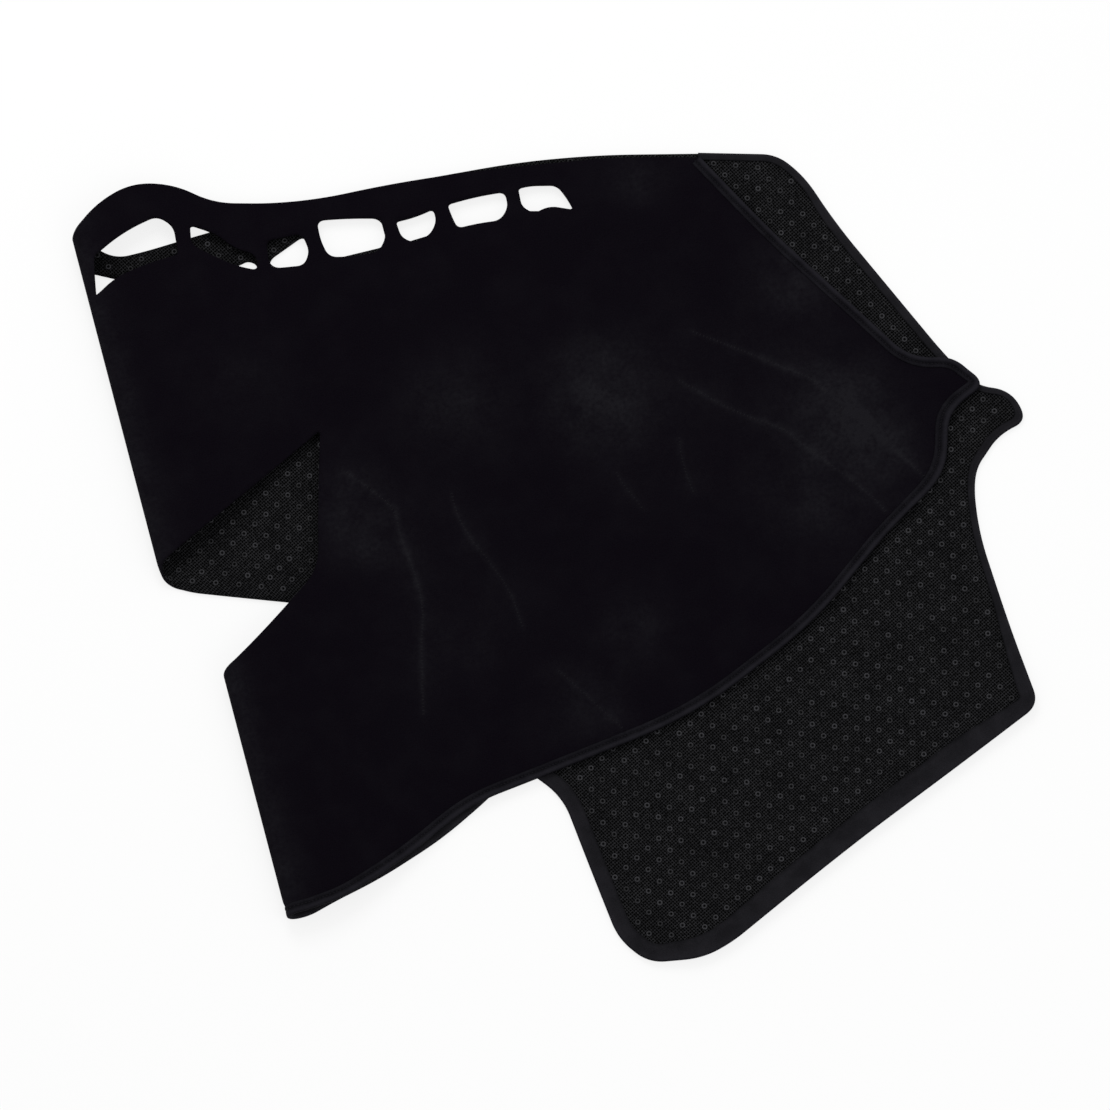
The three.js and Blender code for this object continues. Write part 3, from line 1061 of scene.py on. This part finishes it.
def ground_material():
    """White paper sweep: plain white to the camera, keeping a soft shadow under the mat."""
    material, tree = new_material("white_paper")
    seen = add(tree, "ShaderNodeLightPath")
    shown = maths(
        tree, "MAXIMUM",
        maths(tree, "MAXIMUM", seen.outputs["Is Camera Ray"], seen.outputs["Is Glossy Ray"]),
        seen.outputs["Is Transmission Ray"],
    )
    paper = add(tree, "ShaderNodeBsdfDiffuse", Color=colour("#fafafa"))
    white = add(tree, "ShaderNodeEmission", Color=(1.0, 1.0, 1.0, 1.0), Strength=1.0)
    share = maths(tree, "MULTIPLY", shown, 0.8)
    mixed = add(
        tree, "ShaderNodeMixShader",
        i0=share, i1=paper.outputs["BSDF"], i2=white.outputs["Emission"],
    )
    output(tree, mixed.outputs["Shader"])
    return material


floor = bmesh.new()
bmesh.ops.create_grid(floor, x_segments=1, y_segments=1, size=6)
data = bpy.data.meshes.new("ground")
floor.to_mesh(data)
floor.free()
data.materials.append(ground_material())
ground = bpy.data.objects.new("ground", data)
scene.collection.objects.link(ground)

world = bpy.data.worlds.new("studio")
scene.world = world
world.use_nodes = True
tree = world.node_tree
tree.nodes.clear()
sky = add(tree, "ShaderNodeBackground", Color=(1.0, 1.0, 1.0, 1.0), Strength=0.7)
add(tree, "ShaderNodeOutputWorld", Surface=sky.outputs["Background"])


def area_light(name, place, target, size, power):
    data = bpy.data.lights.new(name, "AREA")
    data.shape = "SQUARE"
    data.size = size
    data.energy = power
    lamp = bpy.data.objects.new(name, data)
    lamp.location = place
    lamp.rotation_euler = (Vector(target) - Vector(place)).to_track_quat("-Z", "Y").to_euler()
    scene.collection.objects.link(lamp)


area_light("key", (-0.5, 1.5, 1.9), (0, 0, 0), 1.2, 20)
area_light("fill", (1.4, -1.2, 1.8), (0, 0, 0), 1.4, 6)

# The photograph is taken from far off and steeply above, its frame 896 mm wide at the mat
ELEVATION = math.radians(73)
DISTANCE = 20.0
FRAME_WIDTH = 0.896
SENSOR = 36.0
AIM = Vector((0.002, 0.0003, 0.003))
lens = bpy.data.cameras.new("camera")
lens.sensor_width = SENSOR
lens.lens = SENSOR * DISTANCE / FRAME_WIDTH
lens.clip_end = 50
camera = bpy.data.objects.new("camera", lens)
camera.location = AIM + DISTANCE * Vector((0, -math.cos(ELEVATION), math.sin(ELEVATION)))
camera.rotation_euler = (AIM - camera.location).to_track_quat("-Z", "Y").to_euler()
scene.collection.objects.link(camera)
scene.camera = camera
scene.view_settings.view_transform = "Standard"
